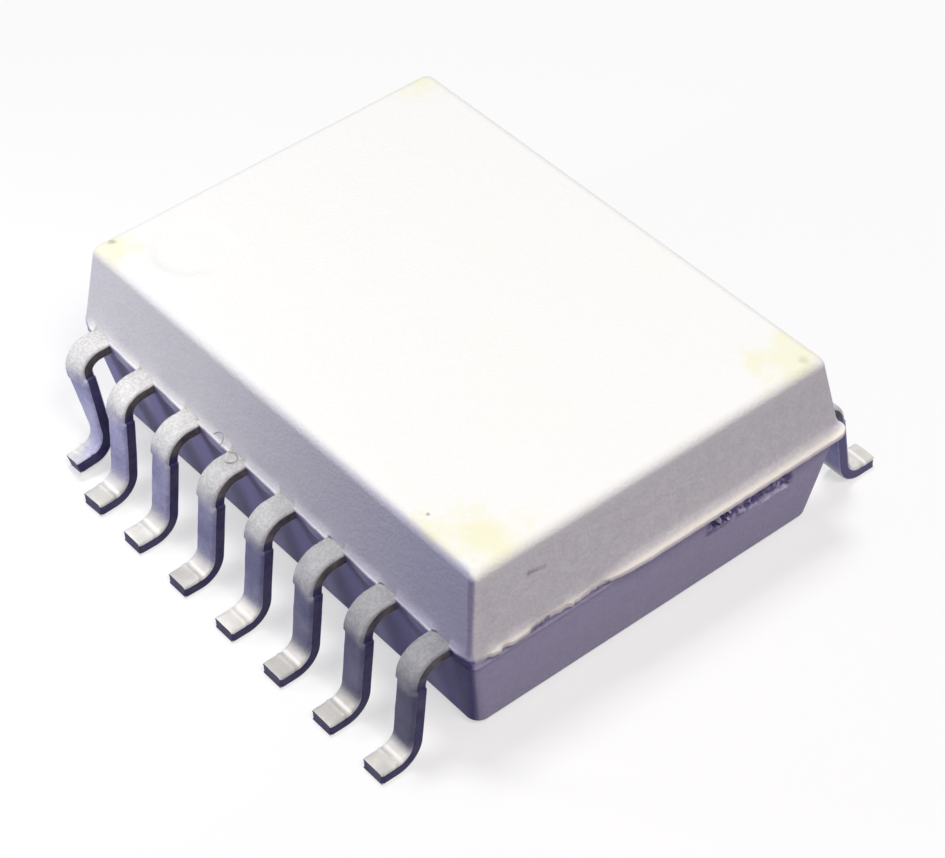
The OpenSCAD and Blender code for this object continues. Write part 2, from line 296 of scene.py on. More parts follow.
def side_levels():
    """The body's outlines from the underside up: height, length, width, corner and lip."""
    under, seam, top = (under_l, under_w, under_r), (seam_l, seam_w, lip_r), (top_l, top_w, upper_r)
    lip_low, gate_low, wall_top = seam_z - lip_t, 1.14, top_z - top_roll
    under_steps, plain_steps, gate_steps, flare_steps, wall_steps, top_steps = 8, 9, 20, 8, 10, 12

    def part_way(share, low, high):
        return [a + (b - a) * share for a, b in zip(low, high)]

    levels = []
    for i in range(under_steps + 1):
        fall = under_roll * (1 - math.cos(math.pi / 2 * i / under_steps))
        levels.append((under_z + fall, rolled(under_l, lower_end_draft, fall, under_roll),
                       rolled(under_w, lower_side_draft, fall, under_roll), under_r, None))
    plain_low = under_z + under_roll
    heights = [plain_low + (gate_low - plain_low) * (i + 1) / plain_steps for i in range(plain_steps)]
    heights += [gate_low + (lip_low - gate_low) * (i + 1) / gate_steps for i in range(gate_steps)]
    for z in heights:
        levels.append((z, *part_way((z - under_z) / (seam_z - under_z), under, seam), None))
    # The lip's edge from its foot up: the share of its width and of its height
    for out, up in ((0.5, 0.0), (0.9, 0.0), (1.0, 0.06), (1.0, 0.3), (1.0, 0.45), (1.0, 0.52),
                    (1.0, 0.58), (1.0, 0.64), (1.0, 0.8), (0.98, 0.91), (0.9, 0.97), (0.8, 1.0)):
        levels.append((lip_low + lip_t * up, *seam, (out, up)))
    # The wall flares out to the lip just above the seam
    flare_top = seam_z + flare_h
    flare_out, flare_fall, flare_crowding = 0.72, 2.2, 1.5
    heights = [seam_z + flare_h * ((i + 1) / flare_steps) ** flare_crowding for i in range(flare_steps)]
    heights += [flare_top + (wall_top - flare_top) * (i + 1) / wall_steps for i in range(wall_steps)]
    for z in heights:
        fade = 1 - (z - seam_z) / flare_h
        lip = (flare_out * fade ** flare_fall, 1.0) if fade > 0.001 else None
        levels.append((z, *part_way((z - seam_z) / (top_z - seam_z), seam, top), lip))
    for i in range(top_steps):
        fall = top_roll * (1 - math.sin(math.pi / 2 * (i + 1) / top_steps))
        levels.append((top_z - fall, rolled(top_l, end_draft, fall, top_roll),
                       rolled(top_w, side_draft, fall, top_roll), upper_r, None))
    return levels


def top_dent(x, y, length, width):
    """How far the top face lies below its height: the round mark by lead 1 and a shallow wave."""
    soft_edge, wave = 0.05, 0.003
    away = math.hypot(x - mark_x, y - mark_y)
    dent = mark_depth * (1 - ramp(away, mark_r - soft_edge, mark_r + soft_edge))
    inward = min(length / 2 - abs(x), width / 2 - abs(y - body_middle_y))
    return dent + wave * (1 + soft_noise(x, y, 0, 1.1)) * ramp(inward, 0.2, 1.4)


def side_ring(rim, steps_x, steps_y, level):
    """The places of one outline, pushed out for the lip or in and out for the gate."""
    z, length, width, radius, lip = level
    ring = []
    for i, j in rim:
        x, y = outline_point(steps_x[i], steps_y[j], length, width, radius)
        if lip:
            push = lip[0] * lip_push(x, y, lip[1])
        else:
            push = wall_unevenness(x, y, z) + (gate_roughness(x, y, z) if z < seam_z else 0.0)
        out_x = x - math.copysign(min(abs(x), length / 2 - radius), x)
        out_y = y - math.copysign(min(abs(y), width / 2 - radius), y)
        reach = math.hypot(out_x, out_y)
        ring.append((x + out_x / reach * push, y + out_y / reach * push + body_middle_y, z))
    return ring


def smooth_mesh(name, points, faces):
    """A smoothly shaded mesh from points in mm."""
    mesh = bpy.data.meshes.new(name)
    mesh.from_pydata([tuple(c * MM for c in p) for p in points], [], faces)
    mesh.polygons.foreach_set("use_smooth", [True] * len(mesh.polygons))
    return mesh


def body_mesh():
    """One closed skin: rings from the underside up, a flat underside and a grid on top."""
    lead_stops = []
    for k in range(row_count):
        for edge, out in ((root_left, -root_step), (root_right, root_step)):
            at = (k - (row_count - 1) / 2) * lead_pitch + edge
            lead_stops += [at, at + out]
    gate_cells, gate_span = 64, 1.1 * gate_l
    gate_stops = [gate_y + gate_span * (i / gate_cells - 0.5) for i in range(gate_cells + 1)]
    steps_x = axis_steps(seam_l / 2 - lip_r, side_step, lead_stops)
    steps_y = axis_steps(seam_w / 2 - lip_r, end_step, gate_stops)
    last_x, last_y = len(steps_x) - 1, len(steps_y) - 1
    rim = [(i, 0) for i in range(last_x)] + [(last_x, j) for j in range(last_y)]
    rim += [(i, last_y) for i in range(last_x, 0, -1)] + [(0, j) for j in range(last_y, 0, -1)]

    # The walls, and the underside as one flat face
    points, faces, rings = [], [], []
    levels = side_levels()
    for level in levels:
        rings.append(range(len(points), len(points) + len(rim)))
        points += side_ring(rim, steps_x, steps_y, level)
    for low, high in zip(rings, rings[1:]):
        for k in range(len(rim)):
            n = (k + 1) % len(rim)
            faces.append((low[k], low[n], high[n], high[k]))
    faces.append(tuple(reversed(rings[0])))

    # The top, whose rim is the last ring
    z, length, width, radius, _ = levels[-1]
    place = dict(zip(rim, rings[-1]))
    for i in range(1, last_x):
        for j in range(1, last_y):
            x, y = outline_point(steps_x[i], steps_y[j], length, width, radius)
            y += body_middle_y
            place[(i, j)] = len(points)
            points.append((x, y, z - top_dent(x, y, length, width)))
    for i in range(last_x):
        for j in range(last_y):
            faces.append((place[(i, j)], place[(i + 1, j)], place[(i + 1, j + 1)], place[(i, j + 1)]))

    mesh = smooth_mesh("chip_body", points, faces)
    mesh.validate()
    mesh.set_sharp_from_angle(angle=math.radians(38))
    return mesh


def open_group(name, inputs, output_names):
    """A node group with named sockets, and its nodes for what comes in and goes out."""
    group = bpy.data.node_groups.new(name, "ShaderNodeTree")
    for socket, kind in inputs.items():
        group.interface.new_socket(name=socket, in_out="INPUT", socket_type=kind)
    for socket in output_names:
        group.interface.new_socket(name=socket, in_out="OUTPUT", socket_type="NodeSocketFloat")
    return group, put(group, "NodeGroupInput").outputs, put(group, "NodeGroupOutput").inputs


def fine_grain_group():
    """Grain that a mould's spark-cut walls leave on resin, and rolling leaves on metal."""
    broad_share, broad_weight = 0.28, 0.6
    group, given, result = open_group("fine_grain", {"Size": "NodeSocketFloat"}, ("Lumps", "Height"))
    here = put(group, "ShaderNodeTexCoord").outputs["Object"]
    fine = put(group, "ShaderNodeTexNoise", Vector=here, Scale=given["Size"], Detail=4.0, Roughness=0.6)
    broad_size = maths(group, "MULTIPLY", given["Size"], broad_share)
    broad = put(group, "ShaderNodeTexNoise", Vector=here, Scale=broad_size, Detail=3.0, Roughness=0.55)
    height = maths(group, "MULTIPLY_ADD", broad.outputs["Fac"], broad_weight, fine.outputs["Fac"])
    group.links.new(broad.outputs["Fac"], result["Lumps"])
    group.links.new(height, result["Height"])
    return group


def spread(tree, value, low, high, start=0.0, end=1.0):
    """A value that runs from start to end while another goes from low to high."""
    return put(tree, "ShaderNodeMapRange", Value=value, From_Min=low, From_Max=high,
               To_Min=start, To_Max=end).outputs[0]


def times(tree, first, *others):
    """The product of masks and strengths."""
    for other in others:
        first = maths(tree, "MULTIPLY", first, other)
    return first


def ragged_spot_group():
    """A stain or a speck: full in its middle, with a ragged edge."""
    lumps_across = 1.6
    group, given, result = open_group(
        "ragged_spot",
        {"Middle": "NodeSocketVector", "Reach": "NodeSocketFloat", "Raggedness": "NodeSocketFloat"},
        ("Mask",))
    here = put(group, "ShaderNodeTexCoord").outputs["Object"]
    away = put(group, "ShaderNodeVectorMath", {"operation": "DISTANCE"}, i0=here, i1=given["Middle"])
    share = maths(group, "DIVIDE", away.outputs["Value"], given["Reach"])
    lump_size = maths(group, "DIVIDE", lumps_across, given["Reach"])
    lumps = put(group, "ShaderNodeTexNoise", Vector=here, Scale=lump_size, Detail=5.0, Roughness=0.65)
    centred = maths(group, "SUBTRACT", lumps.outputs["Fac"], 0.5)
    wavy = maths(group, "MULTIPLY_ADD", centred, given["Raggedness"], share)
    mask = put(group, "ShaderNodeMapRange", {"interpolation_type": "SMOOTHSTEP"},
               Value=wavy, From_Min=1.0, From_Max=0.15, To_Min=0.0, To_Max=1.0)
    group.links.new(mask.outputs[0], result["Mask"])
    return group


grain = fine_grain_group()
stain = ragged_spot_group()


def grained(tree, size):
    """The outputs of fine_grain at one size: Lumps and Height."""
    return put(tree, "ShaderNodeGroup", {"node_tree": grain}, Size=size).outputs


def stained(tree, colour, stain_colour, middle, reach, raggedness, strength):
    """Lays one stain over a colour, with its middle and reach in mm."""
    spot = put(tree, "ShaderNodeGroup", {"node_tree": stain}, Middle=tuple(c * MM for c in middle),
               Reach=reach * MM, Raggedness=raggedness)
    return blend(tree, times(tree, spot.outputs["Mask"], strength), colour, stain_colour)


def within(tree, value, low, high, soft):
    """A mask that is 1 between two lengths in mm and fades outside them."""
    rise = spread(tree, value, (low - soft) * MM, low * MM)
    fall = spread(tree, value, (high + soft) * MM, high * MM)
    return times(tree, rise, fall)


def tinted(tree, colour, tint):
    """A colour seen through a tint."""
    return blend(tree, 1.0, colour, tint, "MULTIPLY")


def axes_of(tree, name):
    """The parts along X, Y and Z of where a point of the piece is, or of where it faces."""
    axes = put(tree, "ShaderNodeSeparateXYZ", Vector=put(tree, "ShaderNodeTexCoord").outputs[name])
    return axes.outputs["X"], axes.outputs["Y"], axes.outputs["Z"]


def relief(tree, strength, depth, height):
    """A bumped normal for relief that is depth mm deep."""
    return put(tree, "ShaderNodeBump", Strength=strength, Distance=depth * MM, Height=height).outputs[0]


def resin_top(tree, base, z):
    """The base colour with yellow stains at the top's corners and a few dark specks."""
    yellow = (0.82, 0.82, 0.47, 1)
    olive, rust, tan = (0.25, 0.26, 0.16, 1), (0.30, 0.20, 0.16, 1), (0.46, 0.40, 0.26, 1)
    aged = base
    for x, y, reach, strength in ((-4.65, -3.15, 0.75, 0.5), (4.35, -2.9, 1.0, 0.6),
                                  (4.55, 3.2, 0.95, 0.5), (-4.75, 3.35, 0.6, 0.5)):
        aged = stained(tree, aged, yellow, (x, y, top_z), reach, raggedness=2.6, strength=strength)
    aged = blend(tree, within(tree, z, 3.5, 4.0, 0.12), base, aged)
    aged = stained(tree, aged, olive, (-4.74, -3.11, 3.52), 0.10, raggedness=1.2, strength=0.6)
    aged = stained(tree, aged, rust, (3.51, -3.13, top_z), 0.05, raggedness=0.6, strength=0.75)
    return stained(tree, aged, tan, (4.72, 3.3, 3.5), 0.13, raggedness=1.3, strength=0.45)


def lower_half_painted_shade(tree, x, near_side, far_end):
    """Painted shade on the lower half: the leads' painted shadows on the wall between them, lighter in the
    gaps, and deep painted shade by lead 8.
    """
    lower_shade_pale, lower_shade_end = (0.84, 0.83, 0.92, 1), (0.70, 0.66, 0.86, 1)
    painted_lead_shadow, gap_shade, lead_8_corner_shade = (0.36, 0.33, 0.62, 1), (0.55, 0.55, 0.76, 1), (0.06, 0.045, 0.22, 1)
    from_gap = maths(tree, "PINGPONG", x, lead_pitch / 2 * MM)
    gap = spread(tree, from_gap, 0.36 * MM, 0.08 * MM)
    wall = blend(tree, gap, painted_lead_shadow, gap_shade)
    wall = blend(tree, within(tree, x, 4.62, past_all, 0.22), wall, lead_8_corner_shade)
    return blend(tree, near_side, blend(tree, far_end, lower_shade_pale, lower_shade_end), wall)


def white_resin_material():
    """Chalky white resin: clouds, flecks and stains, violet painted shade on the lower half and long side, a
    painted cream highlight on the lip, and painted shade under the lip, in the gate's pits and along the
    corner by lead 8.
    """
    chalk, ivory, fleck_grey = (0.86, 0.87, 0.85, 1), (0.865, 0.87, 0.835, 1), (0.77, 0.75, 0.77, 1)
    # A violet for painted shade on the long side, and cream for a painted highlight on the lip
    falloff_shade_violet, lip_highlight_cream = (0.61, 0.61, 0.80, 1), (0.97, 0.93, 0.85, 1)
    # A grey for a scratch, and a grey for painted shade along the corner by lead 8
    scratch_grey, edge_shade_grey = (0.26, 0.22, 0.30, 1), (0.30, 0.25, 0.38, 1)
    # A violet for a painted shadow under the lip, a dark for spots on the lip, and a dark for painted shade
    # in the gate's pits
    lip_shadow_violet, lip_spot_dark, pit_shade_violet = (0.20, 0.16, 0.34, 1), (0.13, 0.10, 0.26, 1), (0.16, 0.12, 0.30, 1)
    lip_shadow_strength, edge_shade_strength = 0.45, 0.75
    material = bpy.data.materials.new("white_resin")
    tree = shader_tree(material)
    x, y, z = axes_of(tree, "Object")
    facing_x, facing_y, _ = axes_of(tree, "Normal")
    near_side = spread(tree, facing_y, -0.5, -0.8)
    far_end = spread(tree, facing_x, 0.2, 0.6)
    texture = grained(tree, 17000.0)

    # Faint clouds everywhere, flecks on the walls alone
    clouds = spread(tree, grained(tree, 1100.0)["Lumps"], 0.38, 0.66)
    colour = blend(tree, clouds, chalk, ivory)
    flecks = spread(tree, texture["Height"], 0.66, 0.96)
    fewer_near = spread(tree, near_side, 0.0, 1.0, 1.0, 0.35)
    walls = times(tree, within(tree, z, below_all, 3.2, 0.25), fewer_near)
    colour = blend(tree, times(tree, flecks, walls), colour, fleck_grey)
    colour = resin_top(tree, colour, z)

    # A short scratch on the end face, which fades along its length
    for along in (0.0, 0.25, 0.5, 0.75, 1.0):
        middle = (4.985, -2.45 + 0.3 * along, 2.99 - 0.06 * along)
        fading = 0.6 - 0.3 * along
        colour = stained(tree, colour, scratch_grey, middle, 0.07, raggedness=1.2, strength=fading)

    # Painted shade: the lower half is darkened, and the long side grows darker and violet towards lead 8
    lower_half_shaded = tinted(tree, colour, lower_half_painted_shade(tree, x, near_side, far_end))
    colour = blend(tree, within(tree, z, below_all, 1.96, 0.03), colour, lower_half_shaded)
    shade_to_lead_8 = times(tree, spread(tree, x, -1.5 * MM, 4.8 * MM), near_side)
    colour = blend(tree, shade_to_lead_8, colour, tinted(tree, colour, falloff_shade_violet))

    # A painted cream highlight along the lip at the far end, a painted shadow under it, and dark spots on
    # the lip
    past_corner = times(tree, within(tree, y, -3.4, past_all, 0.12), far_end)
    painted_lip_shadow = times(tree, within(tree, z, 1.86, 1.90, 0.03), past_corner, lip_shadow_strength)
    colour = blend(tree, painted_lip_shadow, colour, lip_shadow_violet)
    # The lip's top gets a painted cream highlight
    lip = times(tree, within(tree, z, 1.95, 2.05, 0.03), past_corner)
    colour = blend(tree, lip, colour, lip_highlight_cream)
    for flake_y, flake_z in ((-2.46, 1.93), (-2.34, 1.92), (-2.22, 1.94), (-1.25, 1.91), (-1.05, 1.92)):
        middle = (5.12, flake_y, flake_z)
        colour = stained(tree, colour, lip_spot_dark, middle, 0.10, raggedness=1.6, strength=0.8)

    # The torn gate: painted shade, dark in its pits right under the lip
    here = put(tree, "ShaderNodeTexCoord").outputs["Object"]
    pits = put(tree, "ShaderNodeTexNoise", Vector=here, Scale=7000.0, Detail=3.0)
    gate_painted_shade = times(tree, spread(tree, pits.outputs["Fac"], 0.38, 0.56), within(tree, x, 4.7, 5.06, 0.02),
                 within(tree, y, 1.15, 2.85, 0.12), within(tree, z, 1.36, 1.84, 0.08))
    colour = blend(tree, gate_painted_shade, colour, pit_shade_violet)

    # Painted shade along the sharp upright corner by lead 8, on a line that leans with the draft
    ridge_way, ridge_out = (0.5, -0.866, 0.214), 6.113
    ridge = put(tree, "ShaderNodeVectorMath", {"operation": "DOT_PRODUCT"}, i0=here, i1=ridge_way)
    on_ridge = within(tree, ridge.outputs["Value"], ridge_out, past_all, 0.012)
    painted_edge_shade = times(tree, on_ridge, within(tree, z, 2.1, 3.36, 0.1), near_side, edge_shade_strength)
    colour = blend(tree, painted_edge_shade, colour, edge_shade_grey)

    skin = put(tree, "ShaderNodeBsdfPrincipled", Base_Color=colour, Roughness=0.62,
               Normal=relief(tree, 0.9, 0.011, texture["Height"]))
    put(tree, "ShaderNodeOutputMaterial", Surface=skin.outputs[0])
    return material


chip_body = add_object("chip_body", body_mesh())
chip_body.data.materials.append(white_resin_material())
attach(chip_body, "root")
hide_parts("moulded_body")


# ---- Leads ------------------------------------------------------------------------------
# Sixteen strips punched from a copper-alloy sheet, tin-plated and bent to gull wings.
# Their wide faces keep the plating; the punched edges and cut toes are dark bare metal with a painted
# dark-blue reflection.
# Inside the resin each ends in a die pad or in a finger for a bond wire.
lead_w, lead_t = 0.464, 0.24
outer_r, inner_r = 0.06, 0.02
root_w, root_shift = 0.48, -0.04
frame_top = seam_z
bend_r, heel_r, foot_l = 0.52, 0.27, 0.31
bend_turn = math.radians(82)
shoulder_l, root_leg, root_lip = 0.13, 0.06, 0.02
leg_l = (frame_top - (bend_r + heel_r) * (1 - math.cos(bend_turn)) - lead_t) / math.sin(bend_turn)
leg_out = (bend_r + heel_r) * math.sin(bend_turn) + leg_l * math.cos(bend_turn)
crease_out = seam_w / 2 + shoulder_l + leg_out
crease_l, crease_half, toe_trim, neck_l = 0.08, 0.005, 0.005, 0.012
frame_gap, pad_w, pad_l = 0.6, 1.8, 1.05
finger_w, finger_l, finger_gap = 0.7, 0.5, 0.35
plated, sheared, inner_side = 0, 1, 2
# Leads 1 and 2 were knocked: lean, push in, tighter bend, twist, lift and sway back
knocks = {1: (21, 6, 0.06, 15, 0.1, 0), 2: (7, 0, 0, 0, 0.01, 5)}
unharmed = (0, 0, 0, 0, 0, 0)


class Strip:
    """A flat strip followed along its outer face: place, heading, outward normal, sideways."""

    def __init__(self, place):
        self.place = np.array(place, float)
        self.axes = np.array([[0, -1, 0], [0, 0, 1], [1, 0, 0]], float)
        self.run = 0.0
        self.stations = []
        self.note()

    def note(self):
        """Keeps the present place as a station."""
        self.stations.append((self.place.copy(), self.axes.copy(), self.run))

    def spin(self, axis, angle):
        """Turns on the spot about one of its own axes."""
        turned = Matrix.Rotation(angle, 3, Vector(self.axes[axis]))
        self.axes = np.array([turned @ Vector(a) for a in self.axes])

    def go(self, length, steps, lean=0.0, twist=0.0):
        """Straight on, leaning sideways and twisting a little at each step."""
        for _ in range(steps):
            self.place = self.place + self.axes[0] * length / steps
            self.run += length / steps
            self.spin(1, lean / steps)
            self.spin(0, twist / steps)
            self.note()

    def bend(self, radius, angle, steps, lean=0.0):
        """Round a bend, whose second half also leans sideways."""
        for i in range(steps):
            middle = self.place - self.axes[1] * radius
            arm = Vector(self.place - middle)
            turned = Matrix.Rotation(angle / steps, 3, Vector(self.axes[2]))
            self.place = middle + np.array(turned @ arm)
            self.spin(2, angle / steps)
            self.run += abs(radius * angle) / steps
            if i >= steps / 2:
                self.spin(1, 2 * lean / steps)
            self.note()


class LeadShape:
    """Stations of lead k drawn for the near row, and the runs at which its width changes."""

    def __init__(self, k):
        self.near = k <= row_count
        slot = k if self.near else 2 * row_count + 1 - k
        x = (slot - (row_count + 1) / 2) * lead_pitch
        self.has_pad = slot % 2 == (0 if self.near else 1)
        channel_x = (math.ceil(slot / 2) - (row_count / 2 + 1) / 2) * 2 * lead_pitch
        self.pad_shift = channel_x - x
        self.inner_l = pad_l if self.has_pad else finger_l
        tip = frame_gap / 2 if self.has_pad else frame_gap / 2 + pad_l + finger_gap
        lean, push, tight, twist, lift, sway = knocks.get(k, unharmed)

        strip = Strip((x, -tip, frame_top))
        strip.go(self.inner_l, 4)
        strip.go(neck_l, 1)
        strip.go(seam_w / 2 - tip - self.inner_l - neck_l, 6)
        strip.go(shoulder_l + (body_middle_y if self.near else -body_middle_y), 8)
        strip.bend(bend_r - tight, bend_turn + math.radians(push), 20, math.radians(lean))
        strip.go(root_leg, 2)
        self.root_end = strip.run
        strip.go(root_lip, 1)
        strip.go(leg_l - lift - root_leg - root_lip, 16, -math.radians(sway), math.radians(twist))
        strip.bend(-heel_r, -bend_turn, 16)
        self.crease = strip.run
        strip.go(crease_l, 8)
        strip.go(foot_l - crease_l - toe_trim, 6)
        self.stations = strip.stations

    def middle_and_width(self, run):
        """How far the strip's middle is to one side at a run, and how wide the strip is."""
        if run <= self.inner_l + tiny:
            return (self.pad_shift, pad_w) if self.has_pad else (0.0, finger_w)
        if run <= self.root_end + tiny:
            return root_shift, root_w
        return 0.0, lead_w


def lead_edge(ease, dip, under_look):
    """One punched edge from the outer face down: how far in, how deep, and its finish."""
    steps = 4
    arc = (math.pi / 6, math.pi / 3)
    depth = lead_t - outer_r - inner_r - dip / 2
    edge = [(outer_r * (1 - math.sin(a)), -dip - outer_r * (1 - math.cos(a)), plated) for a in arc]
    edge += [(ease, -outer_r - dip / 2 - depth * i / steps, sheared) for i in range(steps + 1)]
    edge += [(inner_r * (1 - math.cos(a)), -lead_t + inner_r * (1 - math.sin(a)), under_look) for a in arc]
    return edge


def lead_section(left, right, ease, dip):
    """The strip's section, clockwise from the outer face's left: aside, depth and finish."""
    steps = 8
    outer_w, inner_w = right - left - 2 * outer_r, right - left - 2 * inner_r
    section = [(left + outer_r + outer_w * i / steps, -dip, plated) for i in range(steps + 1)]
    section += [(right - inset, depth, look) for inset, depth, look in lead_edge(ease, dip, inner_side)]
    section += [(right - inner_r - inner_w * i / steps, -lead_t, inner_side) for i in range(steps + 1)]
    left_edge = reversed(lead_edge(ease, dip, sheared))
    section += [(left + inset, depth, look) for inset, depth, look in left_edge]
    return section


def lead_mesh(k):
    """Lead k as one closed skin, with a crease across its foot and uneven plating."""
    crease_depth, crease_offset, crease_spread = 0.024, 0.005, 0.026
    toe_ease, width_wave, coarse, fine, plating_sink = 0.03, 0.010, 0.005, 0.002, 0.004
    shape = LeadShape(k)
    toe_run = shape.stations[-1][2]
    points, faces, slots, rings = [], [], [], []
    for place, axes, run in shape.stations:
        shift, width = shape.middle_and_width(run)
        width += width_wave * soft_noise(run, k, 0.5, 0.35)
        ease = toe_ease * ramp(run, toe_run - 0.03, toe_run)
        from_crease = (run - shape.crease - crease_offset) / crease_spread
        dip = ease * 0.4 - crease_depth * math.exp(-from_crease ** 2)
        section = lead_section(shift - width / 2, shift + width / 2, ease, dip)
        rings.append(range(len(points), len(points) + len(section)))
        for aside, depth, look in section:
            p = place + axes[2] * aside + axes[1] * depth
            if look == plated:
                rough = coarse * soft_noise(*p, 0.2) + fine * soft_noise(*p, 0.09)
                p = p + axes[1] * (rough - plating_sink)
            points.append(p)
    looks = [look for _, _, look in section]
    for low, high in zip(rings, rings[1:]):
        for m in range(len(looks)):
            n = (m + 1) % len(looks)
            faces.append((low[m], high[m], high[n], low[n]))
            slots.append(sheared if looks[m] == looks[n] == sheared else plated)
    faces += [tuple(rings[0]), tuple(reversed(rings[-1]))]
    slots += [sheared, sheared]

    # The far row is the near row's mirror image
    flip = 1 if shape.near else -1
    points = [(p[0], flip * p[1] + body_middle_y, p[2]) for p in points]
    if shape.near:
        faces = [tuple(reversed(f)) for f in faces]
    mesh = smooth_mesh(f"gull_lead_{k}", points, faces)
    mesh.polygons.foreach_set("material_index", slots)
    mesh.validate()
    mesh.set_sharp_from_angle(angle=math.radians(50))
    return mesh


def tin_plating_material():
    """Dull tin: frosted shoulders, legs with a painted blue-grey reflection, and satin feet, with painted
    shade towards lead 8, a painted sheen on the back row and a painted highlight at the crease.
    """
    frost_dark, frost_light = (0.64, 0.64, 0.635, 1), (0.78, 0.78, 0.76, 1)
    # Blue-grey painted reflection for the legs
    leg_reflection_dark, leg_reflection_light = (0.27, 0.27, 0.48, 1), (0.52, 0.52, 0.74, 1)
    satin_dark, satin_light = (0.54, 0.53, 0.51, 1), (0.78, 0.77, 0.74, 1)
    # A painted highlight for the foot's crease
    crease_highlight = (0.84, 0.83, 0.81, 1)
    # Painted shade towards lead 8 and a painted violet sheen on the back row
    no_shade, lead_8_shade, back_row_sheen = (1, 1, 1, 1), (0.48, 0.48, 0.52, 1), (0.86, 0.85, 0.95, 1)
    pore_dark = (0.80, 0.80, 0.82, 1)
    material = bpy.data.materials.new("tin_plating")
    tree = shader_tree(material)
    x, y, z = axes_of(tree, "Object")
    crystals = grained(tree, 75000.0)
    patches = grained(tree, 5200.0)["Lumps"]
    tone = spread(tree, patches, 0.35, 0.68)

    # Painted shade darkens the leads towards lead 8, and the back row gets a painted violet sheen
    shade_and_sheen = blend(tree, spread(tree, x, -2.6 * MM, 4.6 * MM), no_shade, lead_8_shade)
    shade_and_sheen = blend(tree, within(tree, y, 0.5, past_all, 0.2), shade_and_sheen, back_row_sheen)
    frosted = blend(tree, tone, frost_dark, frost_light)
    # The legs get a painted blue-grey reflection
    leg_painted_reflection = tinted(tree, blend(tree, tone, leg_reflection_dark, leg_reflection_light), shade_and_sheen)
    wander = maths(tree, "MULTIPLY_ADD", patches, 0.5 * MM, z)
    leg = within(tree, wander, 0.80, 1.62, 0.35)
    colour = tinted(tree, blend(tree, leg, frosted, leg_painted_reflection), shade_and_sheen)

    # The feet were pressed flat by the forming tool, and a painted highlight runs along the crease
    feet = within(tree, z, below_all, 0.29, 0.13)
    colour = blend(tree, feet, colour, blend(tree, tone, satin_dark, satin_light))
    out = maths(tree, "ABSOLUTE", maths(tree, "SUBTRACT", y, body_middle_y * MM))
    painted_crease_highlight = within(tree, out, crease_out - crease_half, crease_out + crease_half, 0.04)
    colour = blend(tree, times(tree, painted_crease_highlight, feet), colour, crease_highlight)

    # Pores between the crystals, closed up on the feet
    smooth = maths(tree, "MAXIMUM", spread(tree, crystals["Lumps"], 0.42, 0.60), feet)
    colour = blend(tree, smooth, tinted(tree, colour, pore_dark), colour)
    plate = put(tree, "ShaderNodeBsdfPrincipled", Base_Color=colour, Metallic=0.55,
                Roughness=spread(tree, crystals["Lumps"], 0.3, 0.7, 0.42, 0.6),
                Normal=relief(tree, 1.0, 0.018, crystals["Height"]))
    put(tree, "ShaderNodeOutputMaterial", Surface=plate.outputs[0])
    return material


def sheared_metal_material():
    """Bare torn metal, dark with a painted dark-blue reflection on the legs, lighter grey at the shoulders,
    and painted lighter on the back row.
    """
    # Dark bare metal with a painted dark-blue reflection
    reflection_dark_low, reflection_dark_high = (0.022, 0.016, 0.085, 1), (0.06, 0.055, 0.13, 1)
    # Painted light for the back row's sides
    back_row_lit = (0.11, 0.10, 0.22, 1)
    upper_grey_low, upper_grey_high = (0.05, 0.042, 0.055, 1), (0.17, 0.15, 0.15, 1)
    material = bpy.data.materials.new("sheared_metal")
    tree = shader_tree(material)
    _, y, z = axes_of(tree, "Object")
    tears = grained(tree, 12000.0)
    tone = spread(tree, tears["Lumps"], 0.35, 0.7)
    dark_and_reflection = blend(tree, within(tree, y, 0.5, past_all, 0.2), blend(tree, tone, reflection_dark_low, reflection_dark_high), back_row_lit)
    colour = blend(tree, within(tree, z, 1.66, 3.0, 0.05), dark_and_reflection, blend(tree, tone, upper_grey_low, upper_grey_high))
    edge = put(tree, "ShaderNodeBsdfPrincipled", Base_Color=colour, Metallic=0.3, Roughness=0.6,
               Normal=relief(tree, 0.7, 0.015, tears["Height"]))
    put(tree, "ShaderNodeOutputMaterial", Surface=edge.outputs[0])
    return material


tin_plating = tin_plating_material()
sheared_metal = sheared_metal_material()
for k in range(1, 2 * row_count + 1):
    gull_lead = add_object(f"gull_lead_{k}", lead_mesh(k))
    gull_lead.data.materials.append(tin_plating)
    gull_lead.data.materials.append(sheared_metal)
    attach(gull_lead, "root")
    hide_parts(f"lead_{k}")


# ---- Dies, wires and domes inside the resin ---------------------------------------------
# Four lamp dies each face a detector die through a clear silicone dome. Silver-filled glue
# holds the dies on the pads, and gold wires run from them to the fingers.
glue_grey, glue_silver = (0.46, 0.46, 0.47, 1), (0.74, 0.73, 0.70, 1)
gold_deep, gold_bright = (0.80, 0.56, 0.20, 1), (0.95, 0.74, 0.34, 1)
silicone_cool, silicone_warm = (0.92, 0.95, 0.97, 1), (0.99, 0.99, 0.97, 1)
lamp_red, lamp_track = (0.42, 0.12, 0.08, 1), (0.85, 0.65, 0.30, 1)
detector_blue, detector_track = (0.08, 0.10, 0.16, 1), (0.62, 0.62, 0.64, 1)


def hidden_material(name, first, second, size, depth, **looks):
    """Two tones in grain of one size over a slight relief."""
    material = bpy.data.materials.new(name)
    tree = shader_tree(material)
    texture = grained(tree, size)
    colour = blend(tree, spread(tree, texture["Lumps"], 0.35, 0.65), first, second)
    surface = put(tree, "ShaderNodeBsdfPrincipled", Base_Color=colour,
                  Normal=relief(tree, 0.6, depth, texture["Height"]), **looks)
    put(tree, "ShaderNodeOutputMaterial", Surface=surface.outputs[0])
    return material


